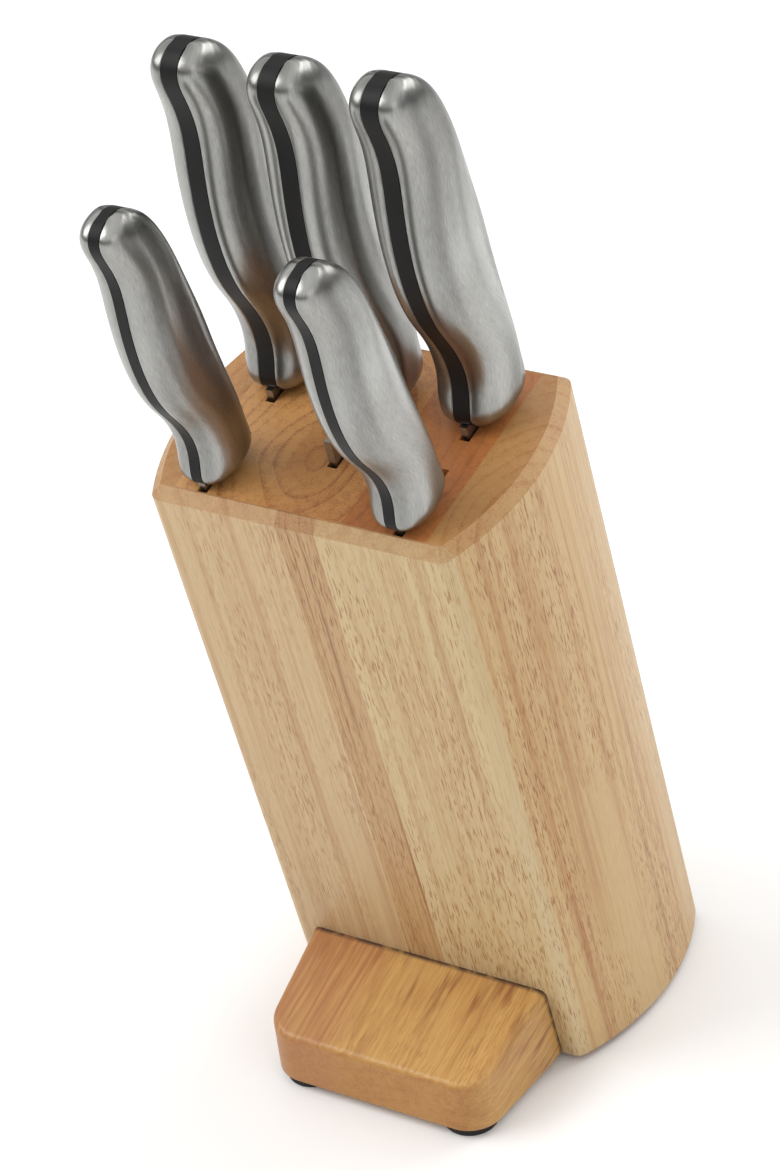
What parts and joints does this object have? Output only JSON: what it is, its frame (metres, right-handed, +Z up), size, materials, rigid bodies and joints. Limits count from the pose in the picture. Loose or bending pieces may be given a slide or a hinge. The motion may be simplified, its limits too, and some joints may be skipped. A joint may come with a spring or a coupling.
{
  "type": "knife block with knives",
  "caption": "Leaning wooden knife block with bowed sides and a front foot, holding knives with steel-shelled handles that lift out.",
  "frame": {"origin": "on the surface that the block stands on, under the middle of the box around block and knives", "axes": "+Z up; the block's front, with its foot, faces -Y; +X is to the right seen from the front"},
  "size_m": [0.12, 0.1582, 0.3618],
  "materials": {
    "end_timber": "oiled end grain, satin",
    "side_timber": "clear satin lacquer",
    "facing_timber": "clear satin lacquer",
    "foot_timber": "clear satin lacquer",
    "dowel_wood": "plain",
    "pad_rubber": "matt",
    "blade_steel": "satin ground",
    "handle_black": "satin",
    "shell_steel": "brushed",
    "pin_steel": "plain"
  },
  "bodies": {
    "block": {"core_left": "end_timber", "core_middle": "end_timber", "core_right": "end_timber", "side_board_left": "side_timber", "side_board_right": "side_timber", "front_stave_left": "facing_timber", "front_stave_middle": "facing_timber", "front_stave_right": "facing_timber", "back_stave_left": "facing_timber", "back_stave_middle": "facing_timber", "back_stave_right": "facing_timber", "foot": "foot_timber", "foot_dowels": "dowel_wood", "rubber_pad_front_left": "pad_rubber", "rubber_pad_front_right": "pad_rubber", "rubber_pad_back_left": "pad_rubber", "rubber_pad_back_right": "pad_rubber"},
    "utility_knife": {"utility_blade": "blade_steel", "utility_core": "handle_black", "utility_shell_left": "shell_steel", "utility_shell_right": "shell_steel", "utility_pins": "pin_steel"},
    "paring_knife": {"paring_blade": "blade_steel", "paring_core": "handle_black", "paring_shell_left": "shell_steel", "paring_shell_right": "shell_steel", "paring_pins": "pin_steel"},
    "carving_knife": {"carving_blade": "blade_steel", "carving_core": "handle_black", "carving_shell_left": "shell_steel", "carving_shell_right": "shell_steel", "carving_pins": "pin_steel"},
    "chef_knife": {"chef_blade": "blade_steel", "chef_core": "handle_black", "chef_shell_left": "shell_steel", "chef_shell_right": "shell_steel", "chef_pins": "pin_steel"},
    "bread_knife": {"bread_blade": "blade_steel", "bread_core": "handle_black", "bread_shell_left": "shell_steel", "bread_shell_right": "shell_steel", "bread_pins": "pin_steel"}
  },
  "joints": [
    {"name": "utility_lift_out", "type": "slide", "parent": "block", "child": "utility_knife", "axis": [0, -0.2453, 0.9694], "range_m": [0, 0.132]},
    {"name": "paring_lift_out", "type": "slide", "parent": "block", "child": "paring_knife", "axis": [0, -0.294, 0.9558], "range_m": [0, 0.102]},
    {"name": "carving_lift_out", "type": "slide", "parent": "block", "child": "carving_knife", "axis": [0, -0.1625, 0.9867], "range_m": [0, 0.212]},
    {"name": "chef_lift_out", "type": "slide", "parent": "block", "child": "chef_knife", "axis": [0, -0.1625, 0.9867], "range_m": [0, 0.206]},
    {"name": "bread_lift_out", "type": "slide", "parent": "block", "child": "bread_knife", "axis": [0, -0.1908, 0.9816], "range_m": [0, 0.21]}
  ]
}
